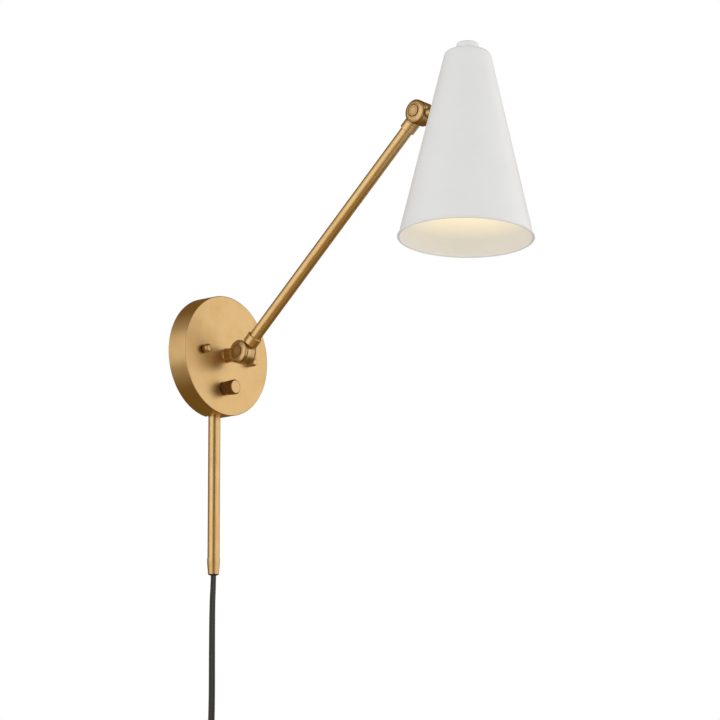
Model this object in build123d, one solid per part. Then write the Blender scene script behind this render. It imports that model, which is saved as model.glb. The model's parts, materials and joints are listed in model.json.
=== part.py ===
from build123d import *
import os
from math import atan2, cos, degrees, pi, radians, tan

# Swing arm wall sconce. Millimetres. The wall is the plane Y = 0 and the lamp stands out to -Y.
# "Out" is the distance from the wall, so a point at out = 24 has Y = -24. +Z is up.
# The origin is the centre of the mounting plate's back, on the wall.
# The neck, arm and shade hang turned a few degrees about the wall's normal, as do the studs and knob.

# Fits
fit = 0.05  # radial clearance of parts that sit in or on each other, and of running shafts
gap = 0.3  # between faces of bodies that move past each other

# Pose of the arm at rest
turned = 3.6  # the lamp's turn about the wall's normal, clockwise seen from the room
arm_pitch = 43.8  # the arm's rise above the horizontal
shade_tilt = 1.7  # lean of the shade's top towards the wall

# Canopy and what carries it
canopy_radius = 63.5
canopy_depth = 24.0
canopy_wall = 1.2
canopy_edge = 1.1
plate_radius = 54.0
plate_thickness = 1.6
plate_centre_hole = 11.0
box_screw_spacing = 88.9
box_slot_width = 4.8
box_slot_length = 12.0
stud_spacing = 70.0
stud_radius = 2.0
stud_nut_width = 7.0
stud_nut_height = 3.2
finial_radius = 4.75
finial_neck_radius = 3.3
finial_neck_length = 1.6
finial_length = 8.8
finial_shoulder = 3.2
finial_lip = 0.5
finial_tip = 2.5  # solid metal past the finial's threaded hole
stud_end_gap = 0.5
screw_radius = 2.0
screw_head_radius = 4.0
screw_head_height = 2.2
screw_head_round = 0.8
screw_slot_width = 0.8
screw_slot_depth = 1.0
ground_screw_place = 40.0
connector_radius = 5.2
connector_tip_radius = 3.4
connector_skirt = 3.0
connector_length = 16.0
connector_tip_round = 1.2
connector_side = 24.0
connector_out = 9.0
connector_place = 20.0

# Dimmer and knob
dimmer_drop = 35.4
dimmer_width = 20.0
dimmer_depth = 12.0
dimmer_corner = 2.0
dimmer_lug_width = 3.0
dimmer_lug_length = 4.0
dimmer_lug_thickness = 0.8
dimmer_lug_spacing = 10.0
dimmer_lug_drop = 2.0
bushing_radius = 4.75
bushing_length = 4.0
bushing_nut_width = 11.0
bushing_nut_height = 1.8
shaft_radius = 3.0
shaft_depth = 7.0  # how far the shaft reaches behind the canopy's front wall
shaft_end_gap = 1.0
knob_radius = 7.9
knob_base_radius = 7.3
knob_length = 13.8
knob_taper = 8.5  # how far up the knob its side still widens
knob_bevel = 1.0
knob_dish = 0.35
knob_face = 3.0  # solid metal behind the knob's face
knob_gap = 1.2

# Cover tube and ferrule
cover_radius = 6.35
cover_wall = 1.0
cover_out = 6.5
cover_top = -56.5
cover_bottom = -211.0
notch_clearance = 0.4
ferrule_length = 19.0
ferrule_bulge_start = 3.4
ferrule_bulge_end = 6.5
ferrule_bulge_radius = 6.7
ferrule_end_radius = 5.7
ferrule_spigot = 8.0
grommet_radius = 4.8
grommet_length = 7.0
grommet_lip = 0.6
grommet_round = 0.5
cord_tail_up = 2.5  # how far the cord reaches above the cover tube, into the canopy
bracket_width = 12.0
bracket_thickness = 2.0
bracket_peg = 13.5  # how far the bracket's peg reaches into the cover tube
bracket_edge = 2.0  # from the plate's rim to the bracket's foot

# Neck and both knuckles
neck_radius = 7.5
neck_flare_radius = 8.5
neck_flare_length = 9.0
neck_step = 1.5
neck_foot_radius = 7.8
neck_foot_length = 0.8
journal_radius = 6.5
journal_length = 9.0
neck_bore = 3.4
neck_nut_width = 19.0
neck_nut_height = 4.0
washer_thickness = 1.0
hinge_out = 47.0
knuckle_radius = 12.25
knuckle_edge = 8.6  # half length of the knuckle at its rim
knuckle_crown = 9.9  # half length of the knuckle round its screw
knuckle_bulge = 0.28  # how far the crown's curve stands above a plain cone, half way up
knuckle_rim = 0.5
slot_edge = 0.4
slot_half = 6.0
tang_half = 5.3
tang_edge = 0.3
friction_washer_radius = 9.5
friction_washer_thickness = 0.55
pivot_radius = 3.0
recess_radius = 6.8
recess_floor = 8.5
recess_wall = 0.6
web_lap = 1.5  # how deep the stub's metal runs into the knuckle's drum
web_back = 7.35  # from the pivot to the web's near face
button_radius = 5.9
button_height = 2.1
button_edge = 0.4
pivot_thread = 1.2  # how far the pivot screw reaches into its cap nut

# Arm
arm_length = 319.6  # from hinge to hinge
arm_radius = 6.35
arm_wall = 1.0
collar_radius = 8.0
collar_gap = 0.7  # the dark line between a knuckle and its collar
collar_floor = 3.0
collar_length = 9.6
collar_edge = 0.35
tang_neck_radius = 4.8
spigot_length = 14.0
wire_radius = 2.2
wire_end_gap = 1.0

# Shade
shade_radius = 68.0
shade_top_radius = 23.0
shade_height = 196.5
shade_wall = 0.9
shoulder_radius = 5.0
rim_bead = 1.3
stem_height = 139.2
stem_length = 26.8
stem_collar_radius = 6.3
stem_collar_length = 5.5
stem_collar_edge = 0.3
stem_radius = 4.8
saddle_radius = 9.0
saddle_length = 3.0
saddle_lap = 4.0
stem_nut_width = 14.0
stem_nut_height = 4.0
stem_nut_thread = 2.0  # how far the stem's thread reaches past its nut
stem_washer_radius = 9.0
stem_washer_depth = 2.4  # from the shade's outside to the washer's flat face
cap_radius = 11.5
cap_height = 10.0
cap_edge = 3.0
cap_foot = 0.6
cap_crown = 3.0
stud_end = 0.5  # between the top stud and the bottom of its hole in the cap
stud_top_radius = 4.75
cup_radius = 18.0
cup_length = 46.0
cup_wall = 0.8
cup_edge = 4.0
stud_nut_room = 3.0  # the top stud's length inside the socket cup
holder_radius = 16.4
holder_length = 42.0
holder_drop = 3.2
shell_radius = 13.9
shell_wall = 0.4
shell_length = 27.0
shell_room = 1.0
bulb_contact_radius = 4.5
bulb_contact_slope = 4.0
bulb_base_chamfer = 1.0
bulb_base_step = 2.0
bulb_base_radius = 13.2
bulb_base_length = 25.0
bulb_neck_step = 0.5
bulb_radius = 30.0
bulb_length = 106.0
bulb_depth = 16.0  # how far the bulb's end sits below the lampholder's top
bulb_glass = 1.0
bulb_seal = 2.0

# Cord
cord_radius = 3.7  # half the flat cord's width
cord_layer = 2 * cord_radius
turn_step = 4.0  # the room that a turn takes across the cord's flat side
hank_turns = 2  # side by side in each layer
hank_layers = 2
hank_run = 104.0
hank_inner = 24.5
hank_centre = -485.0
hank_out = 14.0
tail_start = 6.0
tail_length = 34.0
tie_wall = 0.8
tie_height = 6.0
tie_places = {-1: 42.0, 1: -14.0}  # height above the hank's centre, by side
plug_body_length = 30.0
plug_width = 24.0
plug_thickness = 15.0
plug_corner = 5.0
plug_shoulder = 3.5
plug_relief = 16.0
plug_relief_radius = 5.5
plug_relief_tip = 0.8
blade_length = 16.0
blade_width = 6.4
blade_thickness = 1.5
blade_spacing = 12.7
blade_root = 9.0

LOW = (Align.CENTER, Align.CENTER, Align.MIN)
turn = Rot(0, turned, 0)
hinge = Pos(0, -hinge_out, 0)
arm_place = turn * hinge * Rot(90 - arm_pitch, 0, 0)
arm_end = arm_place * Pos(0, 0, arm_length)
side_angle = degrees(atan2(shade_radius - shade_top_radius, shade_height))
canopy_back = canopy_depth - canopy_wall
ferrule_end = cover_bottom - ferrule_length
collar_start = knuckle_radius + collar_gap
bracket_screw_place = -plate_radius + bracket_width / 2 + bracket_edge


def rod_z(radius, low, high):
    return Pos(0, 0, low) * Cylinder(radius, high - low, align=LOW)


def rod_x(radius, low, high):
    return Rot(0, 90, 0) * rod_z(radius, low, high)


def rod_out(radius, near, far, x=0, z=0):
    """A cylinder that runs away from the wall."""
    return Pos(x, -near, z) * Rot(90, 0, 0) * rod_z(radius, 0, far - near)


def hex_z(width, low, high, bore):
    """A hexagon nut, width across its flats."""
    prism = extrude(RegularPolygon(width / 2, 6, major_radius=False), high - low)
    return Pos(0, 0, low) * (prism - rod_z(bore, 0, high - low))


def hex_out(width, near, far, bore, x=0, z=0):
    return Pos(x, -near, z) * Rot(90, 0, 0) * hex_z(width, 0, far - near, bore)


def lathe(*points):
    """A solid turned about Z from its outline, given as (radius, height)."""
    outline = Plane.XZ * make_face(Polyline(*points, close=True))
    return revolve(outline, Axis.Z)


def at_stud(x, z=0.0):
    """A place on the canopy, in the lamp's own turned frame."""
    return turn * Pos(x, 0, z)


def canopy():
    cup = rod_out(canopy_radius, 0, canopy_depth)
    cup = fillet(cup.edges().group_by(Axis.Y)[0], canopy_edge)
    cup -= rod_out(canopy_radius - canopy_wall, 0, canopy_back)
    cup -= rod_out(journal_radius + fit, 0, canopy_depth)
    for side in (-1, 1):
        cup -= at_stud(side * stud_spacing / 2) * rod_out(stud_radius + 2 * fit, 0, canopy_depth)
    cup -= at_stud(0, -dimmer_drop) * rod_out(bushing_radius + fit, 0, canopy_depth)
    notch_radius = cover_radius + notch_clearance
    notch = Pos(0, -cover_out, cover_top) * rod_z(notch_radius, -canopy_radius, 0)
    notch += Pos(0, 0, cover_top) * Box(
        2 * notch_radius, 2 * cover_out, canopy_radius, align=(Align.CENTER, Align.CENTER, Align.MAX)
    )
    return cup - notch


def mounting_plate():
    plate = rod_out(plate_radius, 0, plate_thickness)
    plate -= rod_out(plate_centre_hole, 0, plate_thickness)
    slot = extrude(SlotOverall(box_slot_length, box_slot_width), plate_thickness)
    for side in (-1, 1):
        plate -= Pos(side * box_screw_spacing / 2, 0, 0) * Rot(90, 0, 0) * slot
        plate -= at_stud(side * stud_spacing / 2) * rod_out(stud_radius + fit, 0, plate_thickness)
    for place in (ground_screw_place, bracket_screw_place):
        plate -= rod_out(screw_radius + fit, 0, plate_thickness, z=place)
    return plate


def studs():
    length = canopy_depth + finial_length - finial_tip - stud_end_gap
    one = rod_out(stud_radius, 0, length)
    return [at_stud(side * stud_spacing / 2) * one for side in (-1, 1)]


def stud_nuts():
    far = plate_thickness + stud_nut_height
    one = hex_out(stud_nut_width, plate_thickness, far, stud_radius + fit)
    return [at_stud(side * stud_spacing / 2) * one for side in (-1, 1)]


def finial_nuts():
    body = rod_z(finial_radius, finial_neck_length, finial_length)
    body = fillet(body.edges().group_by(Axis.Z)[-1], finial_shoulder)
    body = fillet(body.edges().group_by(Axis.Z)[0], finial_lip)
    body += rod_z(finial_neck_radius, 0, finial_neck_length + finial_lip)
    body -= rod_z(stud_radius + fit, 0, finial_length - finial_tip)
    one = Pos(0, -canopy_depth, 0) * Rot(90, 0, 0) * body
    return [at_stud(side * stud_spacing / 2) * one for side in (-1, 1)]


def pan_screw(grip, z):
    """A slotted pan-head screw through the plate from the room's side, its head at out = grip."""
    head = rod_z(screw_head_radius, 0, screw_head_height)
    head = fillet(head.edges().group_by(Axis.Z)[-1], screw_head_round)
    head -= Pos(0, 0, screw_head_height) * Box(
        2 * screw_head_radius, screw_slot_width, 2 * screw_slot_depth
    )
    screw = head + rod_z(screw_radius, -grip, 0)
    return Pos(0, -grip, z) * Rot(90, 0, 0) * screw


def tube_bracket():
    """A tab screwed to the plate, with a hollow peg that the cover tube slides over."""
    peg_radius = cover_radius - cover_wall - fit
    peg_low = cover_top - bracket_peg
    peg_high = -plate_radius - gap
    peg = Pos(0, -cover_out, 0) * rod_z(peg_radius, peg_low, peg_high)
    tab_top = bracket_screw_place + bracket_width / 2
    tab = Pos(0, -plate_thickness, tab_top) * Box(
        bracket_width,
        bracket_thickness,
        tab_top - cover_top - fit,
        align=(Align.CENTER, Align.MAX, Align.MAX),
    )
    tab -= rod_out(screw_radius + fit, 0, cover_out, z=bracket_screw_place)
    return peg + tab - Pos(0, -cover_out, 0) * rod_z(cord_radius + fit, peg_low, tab_top)


def cover_tube():
    tube = rod_z(cover_radius, cover_bottom, cover_top) - rod_z(
        cover_radius - cover_wall, cover_bottom, cover_top
    )
    return Pos(0, -cover_out, 0) * tube


def ferrule():
    spigot = cover_radius - cover_wall - fit
    bore = cord_radius + 3 * fit
    shape = lathe(
        (bore, cover_bottom + ferrule_spigot),
        (spigot, cover_bottom + ferrule_spigot),
        (spigot, cover_bottom),
        (cover_radius, cover_bottom),
        (ferrule_bulge_radius, cover_bottom - ferrule_bulge_start),
        (ferrule_bulge_radius, cover_bottom - ferrule_bulge_end),
        (ferrule_end_radius, ferrule_end),
        (grommet_radius + fit, ferrule_end),
        (grommet_radius + fit, ferrule_end + grommet_length),
        (bore, ferrule_end + grommet_length),
    )
    return Pos(0, -cover_out, 0) * shape


def grommet():
    lip = ferrule_end - grommet_lip
    ring = rod_z(grommet_radius, lip, ferrule_end + grommet_length - fit)
    ring = fillet(ring.edges().group_by(Axis.Z)[0], grommet_round)
    return Pos(0, -cover_out, 0) * (ring - rod_z(cord_radius + fit, lip, ferrule_end + grommet_length))


def cord_inside():
    """The stretch of the cord inside the cover tube, up into the canopy."""
    return Pos(0, -cover_out, 0) * rod_z(cord_radius, ferrule_end, cover_top + cord_tail_up)


def dimmer_body():
    front = canopy_back - fit
    case = Pos(0, -front, 0) * Box(
        dimmer_width, dimmer_depth, dimmer_width, align=(Align.CENTER, Align.MIN, Align.CENTER)
    )
    case = fillet(case.edges().filter_by(Axis.Y), dimmer_corner)
    case += rod_out(bushing_radius, front - canopy_wall, canopy_depth + bushing_length)
    case -= rod_out(shaft_radius + fit, front - shaft_depth - fit, canopy_depth + bushing_length)
    for side in (-1, 1):
        case += Pos(side * dimmer_lug_spacing / 2, -front + dimmer_depth, -dimmer_lug_drop) * Box(
            dimmer_lug_width,
            dimmer_lug_length,
            dimmer_lug_thickness,
            align=(Align.CENTER, Align.MIN, Align.CENTER),
        )
    return at_stud(0, -dimmer_drop) * case


def dimmer_nut():
    nut = hex_out(
        bushing_nut_width, canopy_depth, canopy_depth + bushing_nut_height, bushing_radius + fit
    )
    return at_stud(0, -dimmer_drop) * nut


def dimmer_shaft():
    far = canopy_depth + knob_gap + knob_length - knob_face
    return at_stud(0, -dimmer_drop) * rod_out(shaft_radius, canopy_back - shaft_depth, far)


def knob():
    """A tapered metal knob with a bevelled, slightly dished face and a hollow skirt over the nut."""
    skirt = bushing_nut_width / 2 / cos(radians(30)) + gap
    skirt_depth = bushing_length - knob_gap + 2 * gap
    bore_end = knob_length - knob_face + fit
    body = lathe(
        (skirt, 0),
        (knob_base_radius, 0),
        (knob_radius, knob_taper),
        (knob_radius, knob_length - knob_bevel),
        (knob_radius - knob_bevel, knob_length),
        (0, knob_length - knob_dish),
        (0, bore_end),
        (shaft_radius + fit, bore_end),
        (shaft_radius + fit, skirt_depth),
        (skirt, skirt_depth),
    )
    return at_stud(0, -dimmer_drop) * Pos(0, -canopy_depth - knob_gap, 0) * Rot(90, 0, 0) * body


def cheek():
    """One domed end of a knuckle, standing on the +X side of its slot."""
    bore = pivot_radius + fit
    half_way = ((knuckle_radius + recess_radius) / 2, (knuckle_edge + knuckle_crown) / 2 + knuckle_bulge)
    shape = lathe(
        (bore, slot_half),
        (knuckle_radius - slot_edge, slot_half),
        (knuckle_radius, slot_half + slot_edge),
        (knuckle_radius, knuckle_edge - knuckle_rim),
        (knuckle_radius - knuckle_rim, knuckle_edge),
        half_way,
        (recess_radius, knuckle_crown),
        (recess_radius, recess_floor),
        (bore, recess_floor),
    )
    return Rot(0, 90, 0) * shape


def both_ends(shape):
    return [shape, Rot(0, 0, 180) * shape]


def fork(web_radius, reach):
    """A knuckle's two ends joined by a web behind its slot. The web leaves along -Z."""
    web = rod_z(web_radius, -reach, -web_back)
    web -= rod_x(knuckle_radius + gap, -slot_half, slot_half)
    bridge = web & rod_x(knuckle_radius, -knuckle_edge, knuckle_edge)
    bridge -= rod_x(recess_radius + recess_wall, -knuckle_crown, knuckle_crown)
    shape = web - rod_x(knuckle_radius - web_lap, -knuckle_crown, knuckle_crown) + bridge
    for end in both_ends(cheek()):
        shape += end
    return shape


def pivot_screw():
    """The knuckle's screw, its button head on the -X side."""
    head = rod_z(button_radius, -recess_floor - button_height, -recess_floor)
    head = chamfer(head.edges().group_by(Axis.Z)[0], button_edge)
    return Rot(0, 90, 0) * (head + rod_z(pivot_radius, -recess_floor, recess_floor + pivot_thread))


def pivot_nut():
    """The round cap nut at the other end of the pivot screw."""
    cap = rod_z(button_radius, recess_floor, recess_floor + button_height)
    cap = chamfer(cap.edges().group_by(Axis.Z)[-1], button_edge)
    cap -= rod_z(pivot_radius + fit, recess_floor, recess_floor + pivot_thread + fit)
    return Rot(0, 90, 0) * cap


def friction_washers():
    inner = tang_half + (slot_half - tang_half - friction_washer_thickness) / 2
    one = rod_x(friction_washer_radius, inner, inner + friction_washer_thickness)
    one -= rod_x(pivot_radius + fit, inner, inner + friction_washer_thickness)
    return both_ends(one)


def tang(neck_radius_here):
    """The round middle of a knuckle, with a neck that leaves along +Z."""
    drum = rod_x(knuckle_radius, -tang_half, tang_half)
    drum = chamfer(drum.edges(), tang_edge)
    drum += rod_z(neck_radius_here, 0, collar_start)
    return drum - rod_x(pivot_radius + fit, -tang_half, tang_half)


def neck():
    """The stub that stands out of the canopy, with the lower knuckle's fork on its end."""
    length = hinge_out - canopy_depth - washer_thickness
    flare_start = -(length - neck_flare_length)
    stub = lathe(
        (0, flare_start),
        (neck_flare_radius, flare_start),
        (neck_radius, flare_start - neck_step),
        (neck_radius, -length + neck_foot_length),
        (neck_foot_radius, -length),
        (0, -length),
    )
    stub -= rod_x(knuckle_radius + gap, -slot_half, slot_half)
    shape = fork(neck_flare_radius, length - neck_flare_length) + stub
    shape += rod_z(journal_radius, -length - journal_length, -length)
    shape -= rod_z(neck_bore, -length - journal_length, -knuckle_radius)
    return turn * hinge * Rot(90, 0, 0) * shape


def neck_washer():
    ring = rod_out(neck_foot_radius, canopy_depth + fit, canopy_depth + washer_thickness)
    return turn * (ring - rod_out(journal_radius + fit, 0, hinge_out))


def inner_washer():
    far = canopy_back - fit
    ring = rod_out(neck_nut_width / 2, far - washer_thickness, far)
    return turn * (ring - rod_out(journal_radius + fit, 0, hinge_out))


def neck_nut():
    far = canopy_back - fit - washer_thickness
    return turn * hex_out(neck_nut_width, far - neck_nut_height, far, journal_radius + fit)


def lower_tang():
    shape = tang(tang_neck_radius)
    spigot = arm_radius - arm_wall - fit
    shape += rod_z(tang_neck_radius, collar_start, collar_start + collar_floor)
    shape += rod_z(spigot, collar_start + collar_floor, collar_start + collar_floor + spigot_length)
    bored = rod_z(wire_radius + fit, knuckle_radius, collar_start + collar_floor + spigot_length)
    return arm_place * (shape - bored)


def collar(floor_bore):
    """The ring over an end of the arm, its floor at Z = 0 and the arm entering from above."""
    ring = rod_z(collar_radius, 0, collar_length)
    ring = chamfer(ring.edges(), collar_edge)
    ring -= rod_z(arm_radius + fit, collar_floor, collar_length)
    return ring - rod_z(floor_bore + fit, 0, collar_floor)


def lower_collar():
    return arm_place * Pos(0, 0, collar_start) * collar(tang_neck_radius)


def arm_tube():
    low = collar_start + collar_floor
    high = arm_length - low
    tube = rod_z(arm_radius, low, high) - rod_z(arm_radius - arm_wall, low, high)
    return arm_place * tube


def upper_collar():
    """The upper ring. The fork's spigot passes through its floor into the tube."""
    return arm_end * Rot(180, 0, 0) * Pos(0, 0, collar_start) * collar(tang_neck_radius)


def upper_fork():
    spigot = arm_radius - arm_wall - fit
    foot = collar_start + collar_floor
    shape = fork(collar_radius, collar_start)
    shape += rod_z(tang_neck_radius, -foot, -collar_start)
    shape += rod_z(spigot, -foot - spigot_length, -foot)
    shape -= rod_z(wire_radius + fit, -foot - spigot_length, -knuckle_radius)
    return arm_end * shape


def arm_wire():
    low = collar_start + collar_floor + wire_end_gap
    return arm_place * rod_z(wire_radius, low, arm_length - low)


def stem_place():
    """From the shade's frame, with Z along its axis, to the stem's: Z along the stem, out of the wall."""
    radius = shade_radius - stem_height * tan(radians(side_angle))
    return Pos(0, radius, stem_height) * Rot(-90 + side_angle, 0, 0)


def head_place():
    """Where the shade's own frame goes: its hinge end lands on the arm's end."""
    pivot = (stem_place() * Pos(0, 0, stem_length)).position
    end = hinge * Rot(90 - arm_pitch, 0, 0) * Pos(0, 0, arm_length)
    level = Pos(*end.position)
    return turn * level * Rot(-shade_tilt, 0, 0) * Pos(-pivot.X, -pivot.Y, -pivot.Z)


def shade_stem():
    """The upper knuckle's tang, its collar and the threaded nipple that passes through the shade."""
    shape = Rot(180, 0, 0) * tang(stem_radius)
    foot = -stem_length + saddle_length
    shape += rod_z(stem_radius, foot, -collar_start)
    ring = rod_z(stem_collar_radius, -collar_start - stem_collar_length, -collar_start)
    shape += chamfer(ring.edges(), stem_collar_edge)
    end = -stem_length - stem_washer_depth - stem_nut_height - stem_nut_thread
    shape += rod_z(stem_radius, end, foot)
    shape -= rod_z(wire_radius + fit, end, -knuckle_radius)
    return head_place() * stem_place() * Pos(0, 0, stem_length) * shape


def shade_outside(offset):
    """The shade's solid outline, drawn in by offset from its outer face."""
    slope = radians(side_angle)
    sideways = offset / cos(slope)
    top = shade_height - offset
    low = 0.0 if offset == 0 else -shade_wall
    low_radius = shade_radius - low * tan(slope) - sideways
    top_radius = shade_radius - top * tan(slope) - sideways
    solid = lathe((0, low), (low_radius, low), (top_radius, top), (0, top))
    shoulder = solid.edges().group_by(Axis.Z)[-1]
    return fillet(shoulder, shoulder_radius - offset)


def shade():
    shell = shade_outside(0) - shade_outside(shade_wall)
    bead = revolve(
        Plane.XZ * Pos(shade_radius - shade_wall / 2, rim_bead) * Circle(rim_bead), Axis.Z
    )
    shell += bead
    shell -= rod_z(stud_top_radius + fit, cup_top(), shade_height)
    shell -= stem_place() * rod_z(stem_radius + fit, -saddle_lap, saddle_lap)
    return head_place() * shell


def saddle():
    """A round spacer, hollowed to the shade's curve, between the stem's collar and the shade."""
    pad = stem_place() * (
        rod_z(saddle_radius, -saddle_lap, saddle_length)
        - rod_z(stem_radius + fit, -saddle_lap, saddle_length)
    )
    return head_place() * (pad - shade_outside(0))


def stem_washer():
    """A washer inside the shade, hollowed to its curve on one side and flat on the nut's."""
    low = -stem_washer_depth
    pad = rod_z(stem_washer_radius, low, 0) - rod_z(stem_radius + fit, low, 0)
    return head_place() * (stem_place() * pad & shade_outside(shade_wall + fit))


def stem_nut():
    top = -stem_washer_depth - fit
    nut = hex_z(stem_nut_width, top - stem_nut_height, top, stem_radius + fit)
    return head_place() * stem_place() * nut


def top_cap():
    cap = rod_z(cap_radius, 0, cap_height)
    cap = fillet(cap.edges().group_by(Axis.Z)[-1], cap_edge)
    cap = fillet(cap.edges().group_by(Axis.Z)[0], cap_foot)
    cap -= rod_z(stud_top_radius + fit, 0, cap_height - cap_crown)
    return head_place() * Pos(0, 0, shade_height) * cap


def top_stud():
    """The threaded stud that holds the socket cup up against the shade's top."""
    low = cup_top() - cup_wall - stud_nut_room
    return head_place() * rod_z(stud_top_radius, low, shade_height + cap_height - cap_crown - stud_end)


def cup_top():
    return shade_height - shade_wall - fit


def socket_cup():
    top = cup_top()
    outer = rod_z(cup_radius, top - cup_length, top)
    outer = fillet(outer.edges().group_by(Axis.Z)[-1], cup_edge)
    inner = rod_z(cup_radius - cup_wall, top - cup_length, top - cup_wall)
    inner = fillet(inner.edges().group_by(Axis.Z)[-1], cup_edge - cup_wall)
    return head_place() * (outer - inner - rod_z(stud_top_radius + fit, top - cup_edge, top))


def holder_top():
    return cup_top() - cup_wall - holder_drop


def lampholder():
    top = holder_top()
    body = rod_z(holder_radius, top - holder_length, top)
    body = fillet(body.edges().group_by(Axis.Z)[-1], cup_edge - cup_wall)
    body -= rod_z(shell_radius + fit, top - holder_length, top - bulb_depth + shell_room)
    return head_place() * body


def socket_shell():
    top = holder_top() - bulb_depth
    tube = rod_z(shell_radius, top - shell_length, top)
    return head_place() * (tube - rod_z(shell_radius - shell_wall, top - shell_length, top))


def bulb_top():
    return holder_top() - bulb_depth


def bulb_base():
    top = bulb_top() - shell_room
    contact = top - bulb_contact_slope
    base = lathe(
        (0, top),
        (bulb_contact_radius, top),
        (bulb_base_radius - bulb_base_step, contact),
        (bulb_base_radius, contact - bulb_base_chamfer),
        (bulb_base_radius, top - bulb_base_length),
        (0, top - bulb_base_length),
    )
    return head_place() * base


def bulb_outline(offset):
    """The glass's outline: a neck that widens into a round bulb."""
    top = bulb_top() - shell_room - bulb_base_length
    centre = bulb_top() - bulb_length + bulb_radius
    radius = bulb_radius - offset
    neck = bulb_base_radius - bulb_neck_step - offset
    start = (neck, top)
    crown = (radius, centre)
    flank = Spline(start, crown, tangents=[(0.15, -1), (0, -1)])
    dome = CenterArc((0, centre), radius, 0, -90)
    outline = Curve() + [
        Line((0, top), start),
        flank,
        dome,
        Line((0, centre - radius), (0, top)),
    ]
    return revolve(Plane.XZ * make_face(outline), Axis.Z)


def bulb_glass_shell():
    """The frosted glass, hollow and closed."""
    hollow = bulb_outline(bulb_glass) & rod_z(
        bulb_radius, bulb_top() - bulb_length, bulb_top() - bulb_base_length - bulb_seal
    )
    return head_place() * (bulb_outline(0) - hollow)


def cord_route():
    """The hand-set points of the free cord, from the ferrule's mouth to the hank."""
    return [
        (0, -cover_out, ferrule_end),
        (0, -cover_out, -238),
        (0, -4.8, -268),
        (0.9, -4.9, -404),
        (-11, -6.6, -446),
        (-27, -8.5, -486),
        (-28.5, -13.5, -528),
    ]


def route_radii(points):
    """Each corner's radius, as large as its two runs allow."""
    radii = []
    for before, here, after in zip(points, points[1:], points[2:]):
        first = Vector(*here) - Vector(*before)
        second = Vector(*after) - Vector(*here)
        half = radians(first.get_angle(second)) / 2
        radii.append(0.45 * min(first.length, second.length) / tan(half))
    return radii


def tube_along(points):
    path = FilletPolyline(*points, radius=route_radii(points))
    start = Plane(origin=path @ 0, z_dir=path % 0)
    return sweep(start * Circle(cord_radius), path=path), path.length


def cord():
    tube, length = tube_along(cord_route())
    print("cord radii", [round(radius, 1) for radius in route_radii(cord_route())])
    print("cord volume over section times length", round(tube.volume / (pi * cord_radius**2 * length), 4))
    return tube


def cord_hank():
    """The outer shape of the wound hank, a long ring that stands parallel to the wall."""
    inside = hank_inner - turn_step / 2
    outside = inside + hank_turns * turn_step
    ring = SlotOverall(hank_run + 2 * outside, 2 * outside)
    ring -= SlotOverall(hank_run + 2 * inside, 2 * inside)
    solid = extrude(Rot(0, 0, 90) * ring, hank_layers * cord_layer)
    return Pos(0, -hank_out + cord_radius, hank_centre) * Rot(90, 0, 0) * solid


def tail_place():
    """The top of the tail, on the hank's outer turn and in its outer layer."""
    x = -hank_inner - (hank_turns - 1) * turn_step
    out = hank_out + (hank_layers - 1) * cord_layer
    return Pos(x, -out, hank_centre - hank_run / 2 - tail_start)


def cord_tail():
    return tail_place() * rod_z(cord_radius, -tail_length, 0)


def cord_ties():
    """Two bands, one round each side of the hank."""
    across = hank_turns * turn_step + 2 * fit
    deep = hank_layers * cord_layer + 2 * fit
    band = Box(across + 2 * tie_wall, deep + 2 * tie_wall, tie_height) - Box(across, deep, tie_height)
    middle = hank_inner + (hank_turns - 1) * turn_step / 2
    out = hank_out + (hank_layers - 1) * cord_layer / 2
    return [
        Pos(side * middle, -out, hank_centre + height) * band for side, height in tie_places.items()
    ]


def plug_place():
    """The foot of the plug's strain relief."""
    return tail_place() * Pos(0, 0, -tail_length - plug_relief)


def plug_body():
    relief = Cone(plug_relief_radius, cord_radius + plug_relief_tip, plug_relief, align=LOW)
    block = Pos(0, 0, -plug_body_length) * Box(plug_width, plug_thickness, plug_body_length, align=LOW)
    block = fillet(block.edges().filter_by(Axis.Z), plug_corner)
    block = fillet(block.edges().group_by(Axis.Z)[-1], plug_shoulder)
    body = relief + block
    for side in (-1, 1):
        body -= Pos(side * blade_spacing / 2, 0, -plug_body_length) * Box(
            blade_thickness + 2 * fit, blade_width + 2 * fit, blade_root + fit, align=LOW
        )
    return plug_place() * body


def plug_blades():
    place = plug_place() * Pos(0, 0, -plug_body_length - blade_length)
    one = Box(blade_thickness, blade_width, blade_length + blade_root, align=LOW)
    return [place * Pos(side * blade_spacing / 2, 0, 0) * one for side in (-1, 1)]


def wire_connectors():
    """Two twist-on connectors inside the canopy."""
    cone = lathe(
        (0, 0),
        (connector_radius, 0),
        (connector_radius, connector_skirt),
        (connector_tip_radius, connector_length),
        (0, connector_length),
    )
    cone = fillet(cone.edges().group_by(Axis.Z)[-1], connector_tip_round)
    return [Pos(side * connector_side, -connector_out, connector_place) * cone for side in (-1, 1)]


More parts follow.
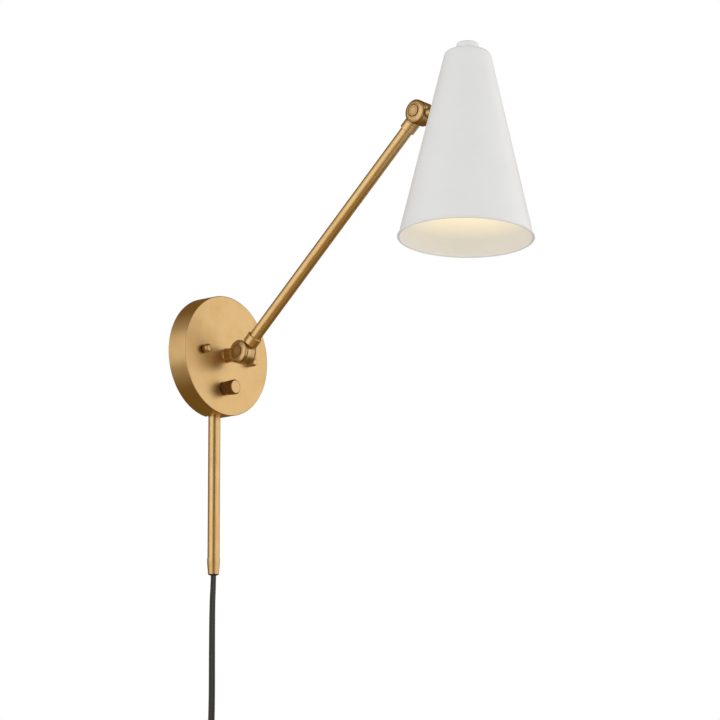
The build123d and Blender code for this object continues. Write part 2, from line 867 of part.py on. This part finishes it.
nodes = {
    "canopy": canopy(),
    "mounting_plate": mounting_plate(),
    "mounting_studs": studs(),
    "stud_locknuts": stud_nuts(),
    "finial_nuts": finial_nuts(),
    "ground_screw": pan_screw(plate_thickness, ground_screw_place),
    "wire_connectors": wire_connectors(),
    "tube_bracket": tube_bracket(),
    "tube_bracket_screw": pan_screw(plate_thickness + bracket_thickness, bracket_screw_place),
    "cord_cover_tube": cover_tube(),
    "cord_ferrule": ferrule(),
    "cord_grommet": grommet(),
    "cord_inside_tube": cord_inside(),
    "dimmer_body": dimmer_body(),
    "dimmer_nut": dimmer_nut(),
    "dimmer_shaft": dimmer_shaft(),
    "dimmer_knob": knob(),
    "neck": neck(),
    "neck_washer": neck_washer(),
    "neck_inner_washer": inner_washer(),
    "neck_nut": neck_nut(),
    "lower_pivot_screw": turn * hinge * pivot_screw(),
    "lower_pivot_nut": turn * hinge * pivot_nut(),
    "lower_friction_washers": [turn * hinge * one for one in friction_washers()],
    "lower_tang": lower_tang(),
    "lower_collar": lower_collar(),
    "arm_tube": arm_tube(),
    "arm_wire": arm_wire(),
    "upper_collar": upper_collar(),
    "upper_fork": upper_fork(),
    "upper_pivot_screw": arm_end * pivot_screw(),
    "upper_pivot_nut": arm_end * pivot_nut(),
    "upper_friction_washers": [arm_end * one for one in friction_washers()],
    "shade_stem": shade_stem(),
    "shade_saddle": saddle(),
    "shade": shade(),
    "stem_washer": stem_washer(),
    "stem_nut": stem_nut(),
    "top_cap": top_cap(),
    "top_stud": top_stud(),
    "socket_cup": socket_cup(),
    "lampholder": lampholder(),
    "socket_shell": socket_shell(),
    "bulb_base": bulb_base(),
    "bulb_glass": bulb_glass_shell(),
    "cord": cord(),
    "cord_hank": cord_hank(),
    "cord_tail": cord_tail(),
    "cord_ties": cord_ties(),
    "plug_body": plug_body(),
    "plug_blades": plug_blades(),
}

os.makedirs("parts", exist_ok=True)
for name, shape in nodes.items():
    if isinstance(shape, list):
        shape = Compound(children=shape)
    export_step(shape, f"parts/{name}.step")
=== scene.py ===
"""The looks of a plug-in swing arm wall light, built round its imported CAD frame. Metres."""
import json
import math

import bpy
from mathutils import Matrix, Vector


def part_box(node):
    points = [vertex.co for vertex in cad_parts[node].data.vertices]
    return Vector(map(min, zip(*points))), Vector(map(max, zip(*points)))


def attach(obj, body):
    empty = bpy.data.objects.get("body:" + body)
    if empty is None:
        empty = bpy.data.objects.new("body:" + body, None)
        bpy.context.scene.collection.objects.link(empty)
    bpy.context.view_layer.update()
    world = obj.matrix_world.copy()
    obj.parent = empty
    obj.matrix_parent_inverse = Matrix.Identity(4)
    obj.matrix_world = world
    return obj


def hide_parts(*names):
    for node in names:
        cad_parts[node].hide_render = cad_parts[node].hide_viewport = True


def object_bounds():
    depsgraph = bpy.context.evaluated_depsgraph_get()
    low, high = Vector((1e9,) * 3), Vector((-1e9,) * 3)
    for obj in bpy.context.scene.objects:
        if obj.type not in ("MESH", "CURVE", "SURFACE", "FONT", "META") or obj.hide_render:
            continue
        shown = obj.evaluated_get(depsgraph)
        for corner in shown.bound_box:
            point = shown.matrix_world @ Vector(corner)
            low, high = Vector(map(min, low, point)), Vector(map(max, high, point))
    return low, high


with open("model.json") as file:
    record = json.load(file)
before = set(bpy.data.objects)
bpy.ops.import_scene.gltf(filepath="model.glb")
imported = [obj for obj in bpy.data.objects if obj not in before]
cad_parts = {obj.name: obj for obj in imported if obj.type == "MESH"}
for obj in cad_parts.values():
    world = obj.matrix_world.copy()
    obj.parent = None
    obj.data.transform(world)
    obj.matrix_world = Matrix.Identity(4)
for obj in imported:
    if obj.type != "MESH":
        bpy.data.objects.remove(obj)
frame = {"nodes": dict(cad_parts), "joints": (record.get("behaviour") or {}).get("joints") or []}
cad_low, cad_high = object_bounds()
nodes = frame["nodes"]
joints = {joint["name"]: joint for joint in frame["joints"]}
scene = bpy.context.scene

UP = Vector((0, 0, 1))
OUT = Vector((0, -1, 0))  # away from the wall
WALL = Vector((0, 0, 0))  # the middle of the canopy, on the wall

# Camera: its direction from the canopy's middle, and how far that sits from the view's axis
CAMERA_AZIMUTH = math.radians(-49.23)
CAMERA_ELEVATION = math.radians(-11.33)
CAMERA_ROLL = math.radians(-0.12)
CAMERA_DISTANCE = 3.688
CAMERA_RIGHT = 0.15795
CAMERA_UP = -0.00133
CAMERA_LENS = 174.8
CAMERA_SENSOR = 36

# Cord: a flat two-core lead, six feet long
CORD_WIDTH = 0.0072
CORE_RADIUS = 0.00185
CORE_OFFSET = CORD_WIDTH / 2 - CORE_RADIUS
WEB_HALF = 0.0011  # half the thickness between the cores
PROFILE_POINTS = 40
LINE_STEPS = 10  # of the smooth line, for each control point
ROUTE = (
    (0, -0.0065, -0.230),
    (0, -0.0065, -0.238),
    (0, -0.0048, -0.268),
    (0.0009, -0.0049, -0.404),
    (-0.011, -0.0066, -0.446),
    (-0.027, -0.0085, -0.486),
    (-0.0285, -0.0135, -0.528),
)
HANK_RUN = 0.104
HANK_INNER = 0.0245
HANK_CENTRE = -0.485
HANK_OUT = 0.014
HANK_TURN_STEP = 0.0040
HANK_LAYER_STEP = 0.0074
HANK_POINTS = 8  # in each half circle
TAIL_OUT = 0.0292  # in front of the hank's turns
TAIL_SWING = -0.550
TAIL_STRAIGHT = -0.562
TAIL_END = -0.577
# The cord's twist along its way: height, and the angle from edge-on to the wall
TWIST = ((-0.230, -101.0), (-0.270, -88.0), (-0.390, -70.0), (-0.446, -55.0), (-0.528, 0.0))

BRASS_LIGHT = (0.77, 0.56, 0.285)
BRASS_DARK = (0.72, 0.49, 0.22)
# Dark brown of a lathe tool's rings, and also of the painted shade on the knob's side and the finials' necks
BRASS_DULL_AND_SHADE = (0.16, 0.085, 0.03)
BRASS_ROUGH = 0.35
# How far the painted shade darkens the brass
PAINTED_SHADE_SHARE = 0.75
TOOL_MARKS = 0.45  # how dark a tool's rings are on the knuckles
DRAWN = {"grain": 0.008, "streak": 0.06}  # the smoother finish of drawn tube
# Painted shade: where the knob's face is unshaded and where its edge is fully darkened, then the same for the
# finials' heads and their necks next to the canopy
KNOB_FACE_UNSHADED = 0.0058  # from the knob's axis
KNOB_EDGE_SHADED = 0.0070
FINIAL_HEAD_UNSHADED = 0.0290  # from the wall
FINIAL_NECK_SHADED = 0.0255

# Sizes of the noises, in cycles per metre, and depths of the bumps
FINE_RINGS = 2600
BROAD_RINGS = 420
TOOL_RINGS = 1100
PATINA = 38
FINE_DEPTH = 0.00005
BROAD_DEPTH = 0.0001
STEEL_CLOUDS = 120
STEEL_GRAIN = 1800
COAT_TINT = 24
COAT_GLOSS = 300
COAT_PEEL = 900
PLASTIC_GRAIN = 2200
PLASTIC_WEAR = 60
PLASTIC_DEPTH = 0.00004
SHEATH_GRAIN = 900
SHEATH_DEPTH = 0.00001
GLASS_CLOUDS = 200
FLOOR_CLOUDS = 3

# Finishes: light tone, dark tone and roughness
PLAIN_BRASS = ((0.8, 0.6, 0.3), (0.7, 0.5, 0.22), 0.25)
ZINC_STEEL = ((0.66, 0.67, 0.68), (0.5, 0.5, 0.52), 0.34)
SOCKET_METAL = ((0.8, 0.8, 0.8), (0.7, 0.7, 0.7), 0.4)
GROUND_GREEN = ((0.05, 0.3, 0.12), (0.04, 0.24, 0.1), 0.4)
WHITE_ENAMEL = ((0.83, 0.83, 0.82), (0.81, 0.81, 0.80), 0.42)
WHITE_CERAMIC = ((0.85, 0.84, 0.8), (0.8, 0.79, 0.75), 0.2)
BLACK_PLASTIC = ((0.022, 0.022, 0.024), (0.03, 0.03, 0.032), 0.5)
RED_PLASTIC = ((0.5, 0.07, 0.04), (0.42, 0.05, 0.03), 0.45)
BLACK_RUBBER = ((0.018, 0.018, 0.02), (0.026, 0.026, 0.028), 0.65)
TIE_BAND = ((0.03, 0.03, 0.034), (0.04, 0.04, 0.043), 0.6)
FIBRE = ((0.12, 0.1, 0.08), (0.09, 0.075, 0.06), 0.8)
CORD_SHEATH = ((0.022, 0.022, 0.023), (0.028, 0.027, 0.027), 0.42)
FROSTED_GLASS = ((0.95, 0.93, 0.88), (0.9, 0.87, 0.8), 0.5)
PALE_FLOOR = ((0.14, 0.14, 0.138), (0.12, 0.12, 0.118), 0.9)

# The lamp: the bulb's light, and the painted glow that stands in for it on the inside of the shade, by height
# above the rim
BULB_COLOR = (1.0, 0.72, 0.36)
BULB_STRENGTH = 0.8
BULB_ABOVE_RIM = 0.100
GLOW_START = 0.008
GLOW_FULL = 0.040
GLOW_STRENGTH = 0.42
GLOW_COLOR = (1.0, 0.80, 0.42)

# The studio
WHITE = (1, 1, 1)
WORLD_FILL = 0.56
WORLD_GLOSS_COLOR = (1.0, 0.62, 0.18)
WORLD_GLOSS = 0.178
FLOOR_HALF = 8.0
FLOOR_BELOW = 0.55  # under the lowest point of the lamp
FLOOR_GLOW_COLOR = (1.0, 1.0, 0.99)
FLOOR_GLOW = 0.72
LIGHT_DISTANCE = 2.6
# Softboxes: azimuth from the camera's, positive to its right, elevation, and the width and height
# that the lamp sees, in degrees, then the radiance
SOFTBOXES = {
    "left_box": (-77, 15, 34, 42, 0.62),
    "left_glow": (-84, 12, 60, 84, 0.18),
    "left_strip": (-43, 6, 42, 70, 0.95),
    "right_box": (53, 10, 52, 66, 0.86),
    "far_right_box": (110, 7, 60, 66, 0.85),
}
LOW_FRONT_GLOW = (5, -58, 70, 50, 0.24)
LOW_FRONT_COLOR = (1.0, 0.8, 0.42)


# ---------------------------------------------------------------- helpers
def direction(azimuth, elevation):
    """The way out from the wall, turned right by the azimuth and raised by the elevation, in radians."""
    return Vector((
        math.sin(azimuth) * math.cos(elevation),
        -math.cos(azimuth) * math.cos(elevation),
        math.sin(elevation),
    ))


def add_object(name, data):
    made = bpy.data.objects.new(name, data)
    scene.collection.objects.link(made)
    return made


def mesh_object(name, points, faces, smooth=True):
    mesh = bpy.data.meshes.new(name)
    mesh.from_pydata([tuple(point) for point in points], [], faces)
    mesh.update()
    for polygon in mesh.polygons:
        polygon.use_smooth = smooth
    return add_object(name, mesh)


def nurbs_line(points):
    """The smooth line of a quadratic NURBS spline, which stays inside the hull of its control points."""
    data = bpy.data.curves.new("cord_line", "CURVE")
    data.dimensions = "3D"
    data.resolution_u = LINE_STEPS
    spline = data.splines.new("NURBS")
    spline.points.add(len(points) - 1)
    for made, point in zip(spline.points, points):
        made.co = (*point, 1)
    spline.order_u = 3
    spline.use_endpoint_u = True
    holder = add_object("cord_line", data)
    bpy.context.view_layer.update()
    depsgraph = bpy.context.evaluated_depsgraph_get()
    line = bpy.data.meshes.new_from_object(holder.evaluated_get(depsgraph))
    found = [vertex.co.copy() for vertex in line.vertices]
    bpy.data.objects.remove(holder)
    bpy.data.curves.remove(data)
    bpy.data.meshes.remove(line)
    return found


def middle(node):
    low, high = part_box(node)
    return (low + high) / 2


def paint(material, *names):
    for name in names:
        for item in nodes[name].material_slots:
            item.material = material


# ---------------------------------------------------------------- camera
def make_camera():
    back = direction(CAMERA_AZIMUTH, CAMERA_ELEVATION)
    level = Vector((math.cos(CAMERA_AZIMUTH), math.sin(CAMERA_AZIMUTH), 0))
    right = Matrix.Rotation(CAMERA_ROLL, 3, back) @ level
    up = back.cross(right)
    data = bpy.data.cameras.new("camera")
    data.lens = CAMERA_LENS
    data.sensor_width = CAMERA_SENSOR
    camera = add_object("camera", data)
    place = Matrix((right, up, back)).transposed().to_4x4()
    place.translation = right * CAMERA_RIGHT + up * CAMERA_UP + back * CAMERA_DISTANCE
    camera.matrix_world = place
    scene.camera = camera


# ---------------------------------------------------------------- cord
def hank_points():
    """Control points of the hank's turns, from the end of the route down and round.

    Each place is a turn's radius and distance from the wall. The last is the tail's, in front of the turns.
    """
    places = (
        (HANK_INNER + HANK_TURN_STEP, HANK_OUT),
        (HANK_INNER, HANK_OUT),
        (HANK_INNER, HANK_OUT + HANK_LAYER_STEP),
        (HANK_INNER + HANK_TURN_STEP, HANK_OUT + HANK_LAYER_STEP),
        (HANK_INNER + HANK_TURN_STEP, TAIL_OUT),
    )
    step = math.pi / HANK_POINTS
    spread = 1 / math.cos(step / 2)
    points = []
    for (radius, out), (next_radius, next_out) in zip(places, places[1:]):
        for half, centre in ((0, HANK_CENTRE - HANK_RUN / 2), (1, HANK_CENTRE + HANK_RUN / 2)):
            for number in range(HANK_POINTS):
                angle = math.pi * (1 + half) + (number + 0.5) * step
                share = half * (number + 0.5) / HANK_POINTS
                reach = (radius + (next_radius - radius) * share) * spread
                depth = out + (next_out - out) * share
                points.append((reach * math.cos(angle), -depth, centre + reach * math.sin(angle)))
    return points


def cord_points():
    """The route, the hank and the tail, which comes down in front and swings back to the plug."""
    side = -HANK_INNER - HANK_TURN_STEP
    plug_out = HANK_OUT + HANK_LAYER_STEP
    tail = [
        (side, -TAIL_OUT, HANK_CENTRE),
        (side, -TAIL_OUT, TAIL_SWING),
        (side, -plug_out, TAIL_STRAIGHT),
        (side, -plug_out, TAIL_END),
    ]
    return list(ROUTE) + hank_points() + tail


def twist_at(height):
    """The free cord's twist at a height, in radians, turning evenly between the listed ones."""
    for (high, before), (low, after) in zip(TWIST, TWIST[1:]):
        if height >= low:
            share = min(1.0, max(0.0, (high - height) / (high - low)))
            return math.radians(before + (after - before) * share)
    return math.radians(TWIST[-1][1])


def cord_profile():
    """The flat cord's outline: two round cores and the web between them."""
    outline = []
    for number in range(PROFILE_POINTS):
        angle = 2 * math.pi * number / PROFILE_POINTS
        wide = CORD_WIDTH / 2 * math.cos(angle)
        from_core = abs(wide) - CORE_OFFSET
        thick = math.sqrt(max(0.0, CORE_RADIUS**2 - from_core**2))
        if abs(wide) < CORE_OFFSET:
            thick = max(thick, WEB_HALF)
        at_edge = number % (PROFILE_POINTS / 2) == 0
        outline.append((wide, 0 if at_edge else math.copysign(thick, math.sin(angle))))
    return outline


def make_cord():
    """The cord as a closed tube round its line. Past the route it lies edge-on to the wall, in the hank."""
    line = nurbs_line(cord_points())
    profile = cord_profile()
    free_end = ROUTE[-1][2]
    points = []
    wound = False
    for index, here in enumerate(line):
        before = line[max(index - 1, 0)]
        after = line[min(index + 1, len(line) - 1)]
        along = (after - before).normalized()
        wound = wound or here.z < free_end
        edge_on = (OUT - along * OUT.dot(along)).normalized()
        side = along.cross(edge_on)
        angle = 0.0 if wound else twist_at(here.z)
        wide = edge_on * math.cos(angle) + side * math.sin(angle)
        thick = along.cross(wide)
        points += [here + wide * u + thick * v for u, v in profile]
    count = len(profile)
    faces = []
    for ring in range(len(line) - 1):
        for number in range(count):
            nearer = ring * count + number
            beside = ring * count + (number + 1) % count
            faces.append((nearer, beside, beside + count, nearer + count))
    last = (len(line) - 1) * count
    faces.append(tuple(range(count))[::-1])
    faces.append(tuple(range(last, last + count)))
    return mesh_object("supply_cord", points, faces), line


# ---------------------------------------------------------------- materials
class Graph:
    """A material's nodes, made and joined in short steps."""

    def __init__(self, name):
        self.material = bpy.data.materials.new(name)
        self.material.use_nodes = True
        self.nodes = self.material.node_tree.nodes
        self.links = self.material.node_tree.links
        self.shader = self.nodes["Principled BSDF"]
        place = self.nodes.new("ShaderNodeTexCoord")
        self.place = place.outputs["Object"]
        self.normal = place.outputs["Normal"]

    def set(self, **values):
        for name, value in values.items():
            self.shader.inputs[name.replace("_", " ")].default_value = value
        return self

    def join(self, source, target):
        self.links.new(source, target)

    def fill(self, socket, value):
        """Joins another node's output to a socket, or sets the socket to a plain value."""
        if isinstance(value, bpy.types.NodeSocket):
            self.join(value, socket)
        else:
            socket.default_value = value

    def math(self, operation, first, second):
        node = self.nodes.new("ShaderNodeMath")
        node.operation = operation
        self.fill(node.inputs[0], first)
        self.fill(node.inputs[1], second)
        return node.outputs["Value"]

    def vector(self, operation, first, second):
        node = self.nodes.new("ShaderNodeVectorMath")
        node.operation = operation
        self.fill(node.inputs[0], first)
        self.fill(node.inputs[1], second)
        return node.outputs["Value" if operation in ("DOT_PRODUCT", "LENGTH") else "Vector"]

    def turned(self, point, axis):
        """(height along the axis, distance from it, 0): the same all the way round a turned part."""
        from_point = self.vector("SUBTRACT", self.place, tuple(point))
        height = self.vector("DOT_PRODUCT", from_point, tuple(axis))
        across = self.vector("CROSS_PRODUCT", from_point, tuple(axis))
        radius = self.vector("LENGTH", across, (0, 0, 0))
        join = self.nodes.new("ShaderNodeCombineXYZ")
        self.join(height, join.inputs["X"])
        self.join(radius, join.inputs["Y"])
        return join.outputs["Vector"]

    def noise(self, place, scale, detail, roughness=0.6):
        node = self.nodes.new("ShaderNodeTexNoise")
        node.inputs["Scale"].default_value = scale
        node.inputs["Detail"].default_value = detail
        node.inputs["Roughness"].default_value = roughness
        self.join(place, node.inputs["Vector"])
        return node.outputs["Fac"]

    def ramp(self, source, low, high, out_low, out_high):
        node = self.nodes.new("ShaderNodeMapRange")
        for name, value in (("From Min", low), ("From Max", high), ("To Min", out_low), ("To Max", out_high)):
            node.inputs[name].default_value = value
        self.join(source, node.inputs["Value"])
        return node.outputs["Result"]

    def mix(self, share, first, second):
        """A colour from the first, a colour or an output, to the second, a colour, by an output's share."""
        node = self.nodes.new("ShaderNodeMix")
        node.data_type = "RGBA"
        self.join(share, node.inputs["Factor"])
        sockets = {item.name: item for item in node.inputs if item.type == "RGBA"}
        self.fill(sockets["A"], first if isinstance(first, bpy.types.NodeSocket) else (*first, 1))
        self.fill(sockets["B"], (*second, 1))
        return [item for item in node.outputs if item.type == "RGBA"][0]

    def color(self, source):
        self.join(source, self.shader.inputs["Base Color"])

    def rough(self, source):
        self.join(source, self.shader.inputs["Roughness"])

    def bump(self, source, strength, distance):
        node = self.nodes.new("ShaderNodeBump")
        node.inputs["Strength"].default_value = strength
        node.inputs["Distance"].default_value = distance
        self.join(source, node.inputs["Height"])
        if self.shader.inputs["Normal"].is_linked:
            self.join(self.shader.inputs["Normal"].links[0].from_socket, node.inputs["Normal"])
        self.join(node.outputs["Normal"], self.shader.inputs["Normal"])


def brass(name, point, axis, light=BRASS_LIGHT, dark=BRASS_DARK, rough=BRASS_ROUGH,
          grain=0.10, streak=0.3, turning=0.0, painted_shade=None):
    """Aged brass with the fine rings that brushing on a lathe leaves, under a satin lacquer.

    Grain is how deep the fine rings are and streak how dark, and turning how dark the wider
    rings of a lathe's tool are. The painted shade names a coordinate, "X" for height along the axis
    or "Y" for distance from it, and where along it the metal is still unshaded and where it is fully
    darkened.
    """
    graph = Graph(name).set(Metallic=1.0)
    rings = graph.turned(point, axis)
    fine = graph.noise(rings, FINE_RINGS, detail=3, roughness=0.7)
    broad = graph.noise(rings, BROAD_RINGS, detail=2)
    patina = graph.noise(graph.place, PATINA, detail=5, roughness=0.65)
    tone = graph.mix(graph.ramp(patina, 0.3, 0.72, 0, 1), light, dark)
    tone = graph.mix(graph.ramp(fine, 0.35, 0.75, 0.0, streak), tone, dark)
    if turning:
        wide = graph.noise(rings, TOOL_RINGS, detail=1)
        tone = graph.mix(graph.ramp(wide, 0.42, 0.66, 0.0, turning), tone, BRASS_DULL_AND_SHADE)
    # Painted shade: darker towards the dark brown along the named coordinate
    if painted_shade:
        coordinate, unshaded, fully_shaded = painted_shade
        apart = graph.nodes.new("ShaderNodeSeparateXYZ")
        graph.join(rings, apart.inputs["Vector"])
        painted_darkening = graph.ramp(apart.outputs[coordinate], unshaded, fully_shaded, 0.0, PAINTED_SHADE_SHARE)
        tone = graph.mix(painted_darkening, tone, BRASS_DULL_AND_SHADE)
    graph.color(tone)
    graph.rough(graph.ramp(patina, 0.25, 0.75, rough - 0.04, rough + 0.06))
    graph.bump(fine, grain, FINE_DEPTH)
    graph.bump(broad, grain / 2, BROAD_DEPTH)
    return graph.material


def steel(name, light, dark, rough):
    """Plated steel: pale, with soft cloudy patches."""
    graph = Graph(name).set(Metallic=1.0)
    cloud = graph.noise(graph.place, STEEL_CLOUDS, detail=6, roughness=0.7)
    graph.color(graph.mix(graph.ramp(cloud, 0.35, 0.7, 0, 1), light, dark))
    graph.rough(graph.ramp(cloud, 0.3, 0.7, rough - 0.06, rough + 0.1))
    graph.bump(graph.noise(graph.place, STEEL_GRAIN, detail=3), 0.08, FINE_DEPTH)
    return graph.material


def sprayed(name, light, dark, rough):
    """The graph of a sprayed coat: nearly even in colour, with a faint orange peel."""
    graph = Graph(name)
    tint = graph.noise(graph.place, COAT_TINT, detail=3)
    graph.color(graph.mix(graph.ramp(tint, 0.3, 0.7, 0, 1), light, dark))
    gloss = graph.noise(graph.place, COAT_GLOSS, detail=4)
    graph.rough(graph.ramp(gloss, 0.3, 0.7, rough - 0.05, rough + 0.05))
    graph.bump(graph.noise(graph.place, COAT_PEEL, detail=2, roughness=0.4), 0.12, FINE_DEPTH)
    return graph


def painted(name, light, dark, rough):
    """The material of a plain sprayed coat."""
    return sprayed(name, light, dark, rough).material


def shade_enamel_painted_glow(name, light, dark, rough):
    """Enamel that, inside the shade, carries a painted glow, an emission that stands in for the bulb's light:
    none at the rim, more with height.

    The shade's flat top faces neither in nor out, so rounding lets a part of it glow too.
    """
    graph = sprayed(name, light, dark, rough)
    axis = (middle("top_cap") - middle("bulb_glass")).normalized()
    rim = middle("bulb_glass") - axis * BULB_ABOVE_RIM
    from_rim = graph.vector("SUBTRACT", graph.place, tuple(rim))
    height = graph.vector("DOT_PRODUCT", from_rim, tuple(axis))
    sideways = graph.vector("CROSS_PRODUCT", from_rim, tuple(axis))
    outward = graph.vector("CROSS_PRODUCT", tuple(axis), sideways)
    facing = graph.vector("DOT_PRODUCT", outward, graph.normal)
    # Painted glow: an emission on the inner enamel only, standing in for the bulb's light
    inside = graph.math("LESS_THAN", facing, 0.0)
    strength = graph.ramp(height, GLOW_START, GLOW_FULL, 0.0, GLOW_STRENGTH)
    glow = graph.math("MULTIPLY", inside, strength)
    graph.join(glow, graph.shader.inputs["Emission Strength"])
    graph.set(Emission_Color=(*GLOW_COLOR, 1))
    return graph.material


def moulded(name, light, dark, rough, grain=PLASTIC_GRAIN, depth=PLASTIC_DEPTH):
    """Moulded plastic or rubber with a fine grain."""
    graph = Graph(name)
    grains = graph.noise(graph.place, grain, detail=4, roughness=0.7)
    wear = graph.noise(graph.place, PLASTIC_WEAR, detail=5)
    graph.color(graph.mix(graph.ramp(wear, 0.35, 0.75, 0, 1), light, dark))
    graph.rough(graph.ramp(wear, 0.3, 0.7, rough - 0.06, rough + 0.08))
    graph.bump(grains, 0.25, depth)
    return graph.material


def glowing(name, light, dark, rough):
    """Frosted glass lit from inside."""
    graph = Graph(name).set(Roughness=rough)
    graph.set(Emission_Color=(*BULB_COLOR, 1), Emission_Strength=BULB_STRENGTH)
    graph.color(graph.mix(graph.noise(graph.place, GLASS_CLOUDS, detail=2), light, dark))
    return graph.material


def make_brass():
    low_pivot = Vector(joints["arm_hinge"]["pos_m"])
    high_pivot = Vector(joints["shade_tilt"]["pos_m"])
    pivot_axis = Vector(joints["arm_hinge"]["axis"]).normalized()
    arm_axis = (high_pivot - low_pivot).normalized()
    knob_centre = Vector(joints["dimmer_turn"]["pos_m"])
    cover = middle("cord_cover_tube")
    paint(brass("brass_canopy", WALL, OUT), "canopy")
    paint(brass("brass_neck", WALL, OUT), "neck_washer")
    paint(brass("brass_lower_knuckle", low_pivot, pivot_axis, turning=TOOL_MARKS),
          "neck", "lower_tang", "lower_pivot_screw", "lower_pivot_nut")
    paint(brass("brass_upper_knuckle", high_pivot, pivot_axis, turning=TOOL_MARKS),
          "upper_fork", "upper_pivot_screw", "upper_pivot_nut", "shade_stem")
    paint(brass("brass_arm", low_pivot, arm_axis, **DRAWN), "arm_tube")
    paint(brass("brass_collars", low_pivot, arm_axis, grain=0.05), "lower_collar", "upper_collar")
    paint(brass("brass_cover", cover, UP, **DRAWN), "cord_cover_tube", "cord_ferrule")
    # Painted shade on the rim and side of the knob
    knob_shade = ("Y", KNOB_FACE_UNSHADED, KNOB_EDGE_SHADED)
    paint(brass("brass_knob", knob_centre, OUT, painted_shade=knob_shade), "dimmer_knob")
    # Painted shade on the finials' necks next to the canopy
    finial_shade = ("X", FINIAL_HEAD_UNSHADED, FINIAL_NECK_SHADED)
    paint(brass("brass_finials", WALL, OUT, painted_shade=finial_shade), "finial_nuts")
    paint(brass("brass_plain", high_pivot, arm_axis, *PLAIN_BRASS),
          "neck_inner_washer", "neck_nut", "socket_shell", "top_stud", "plug_blades")


def make_other_materials():
    """Paints the pieces that aren't brass, and gives back the cord's material."""
    paint(steel("zinc_steel", *ZINC_STEEL),
          "mounting_plate", "mounting_studs", "stud_locknuts", "tube_bracket",
          "tube_bracket_screw", "dimmer_nut", "dimmer_shaft", "stem_nut", "stem_washer")
    paint(painted("ground_green", *GROUND_GREEN), "ground_screw")
    paint(painted("white_enamel", *WHITE_ENAMEL), "top_cap", "shade_saddle")
    # The shade's enamel carries the painted glow inside
    paint(shade_enamel_painted_glow("shade_enamel_painted_glow", *WHITE_ENAMEL), "shade")
    paint(steel("socket_metal", *SOCKET_METAL), "socket_cup", "bulb_base")
    paint(painted("white_ceramic", *WHITE_CERAMIC), "lampholder")
    paint(moulded("black_plastic", *BLACK_PLASTIC), "dimmer_body", "plug_body")
    paint(moulded("red_plastic", *RED_PLASTIC), "wire_connectors")
    paint(moulded("black_rubber", *BLACK_RUBBER), "cord_grommet")
    paint(moulded("tie_band", *TIE_BAND), "cord_ties")
    paint(moulded("fibre", *FIBRE), "lower_friction_washers", "upper_friction_washers")
    paint(glowing("lit_glass", *FROSTED_GLASS), "bulb_glass")
    sheath = moulded("cord_sheath", *CORD_SHEATH, SHEATH_GRAIN, SHEATH_DEPTH)
    paint(sheath, "cord_inside_tube", "arm_wire")
    return sheath


# ---------------------------------------------------------------- stage
def softbox(name, azimuth, elevation, width, height, radiance):
    """A rectangular light that faces the lamp's middle and that the camera doesn't see."""
    back = direction(CAMERA_AZIMUTH + math.radians(azimuth), math.radians(elevation))
    data = bpy.data.lights.new(name, "AREA")
    data.shape = "RECTANGLE"
    data.size = 2 * LIGHT_DISTANCE * math.tan(math.radians(width) / 2)
    data.size_y = 2 * LIGHT_DISTANCE * math.tan(math.radians(height) / 2)
    data.energy = radiance * math.pi * data.size * data.size_y
    light = add_object(name, data)
    light.location = (cad_low + cad_high) / 2 + back * LIGHT_DISTANCE
    light.rotation_euler = back.to_track_quat("Z", "Y").to_euler()
    light.visible_camera = False
    return light


def make_world():
    """White to the camera, dim and warm in reflections, even grey as fill light."""
    world = bpy.data.worlds.new("studio")
    scene.world = world
    world.use_nodes = True
    tree = world.node_tree
    tree.nodes.clear()
    path = tree.nodes.new("ShaderNodeLightPath")
    output = tree.nodes.new("ShaderNodeOutputWorld")

    def sky(color, strength):
        node = tree.nodes.new("ShaderNodeBackground")
        node.inputs["Color"].default_value = (*color, 1)
        node.inputs["Strength"].default_value = strength
        return node.outputs["Background"]

    def choose(share, first, second):
        node = tree.nodes.new("ShaderNodeMixShader")
        tree.links.new(share, node.inputs["Fac"])
        tree.links.new(first, node.inputs[1])
        tree.links.new(second, node.inputs[2])
        return node.outputs["Shader"]

    fill = sky(WHITE, WORLD_FILL)
    gloss = sky(WORLD_GLOSS_COLOR, WORLD_GLOSS)
    seen = sky(WHITE, 1.0)
    lit = choose(path.outputs["Is Glossy Ray"], fill, gloss)
    tree.links.new(choose(path.outputs["Is Camera Ray"], lit, seen), output.inputs["Surface"])


def make_floor():
    """A pale floor that gives off a little light, so that one-sided lights leave only a faint edge on it."""
    height = cad_low.z - FLOOR_BELOW
    corners = [(x * FLOOR_HALF, y * FLOOR_HALF, height) for x, y in ((-1, -1), (1, -1), (1, 1), (-1, 1))]
    floor = mesh_object("floor", corners, [(0, 1, 2, 3)], smooth=False)
    light, dark, rough = PALE_FLOOR
    graph = Graph("pale_floor").set(Roughness=rough)
    graph.set(Emission_Color=(*FLOOR_GLOW_COLOR, 1), Emission_Strength=FLOOR_GLOW)
    graph.color(graph.mix(graph.noise(graph.place, FLOOR_CLOUDS, detail=3), light, dark))
    floor.data.materials.append(graph.material)
    floor.visible_glossy = False
    floor.visible_diffuse = False


def make_stage():
    scene.view_settings.view_transform = "Standard"
    make_world()
    make_floor()
    for name, place in SOFTBOXES.items():
        softbox(name, *place)
    low_glow = softbox("low_front_glow", *LOW_FRONT_GLOW)
    low_glow.data.color = LOW_FRONT_COLOR
    low_glow.visible_diffuse = False


make_camera()
cord, cord_line = make_cord()
make_brass()
cord.data.materials.append(make_other_materials())
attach(cord, "wall_mount")
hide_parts("cord", "cord_hank", "cord_tail")
make_stage()
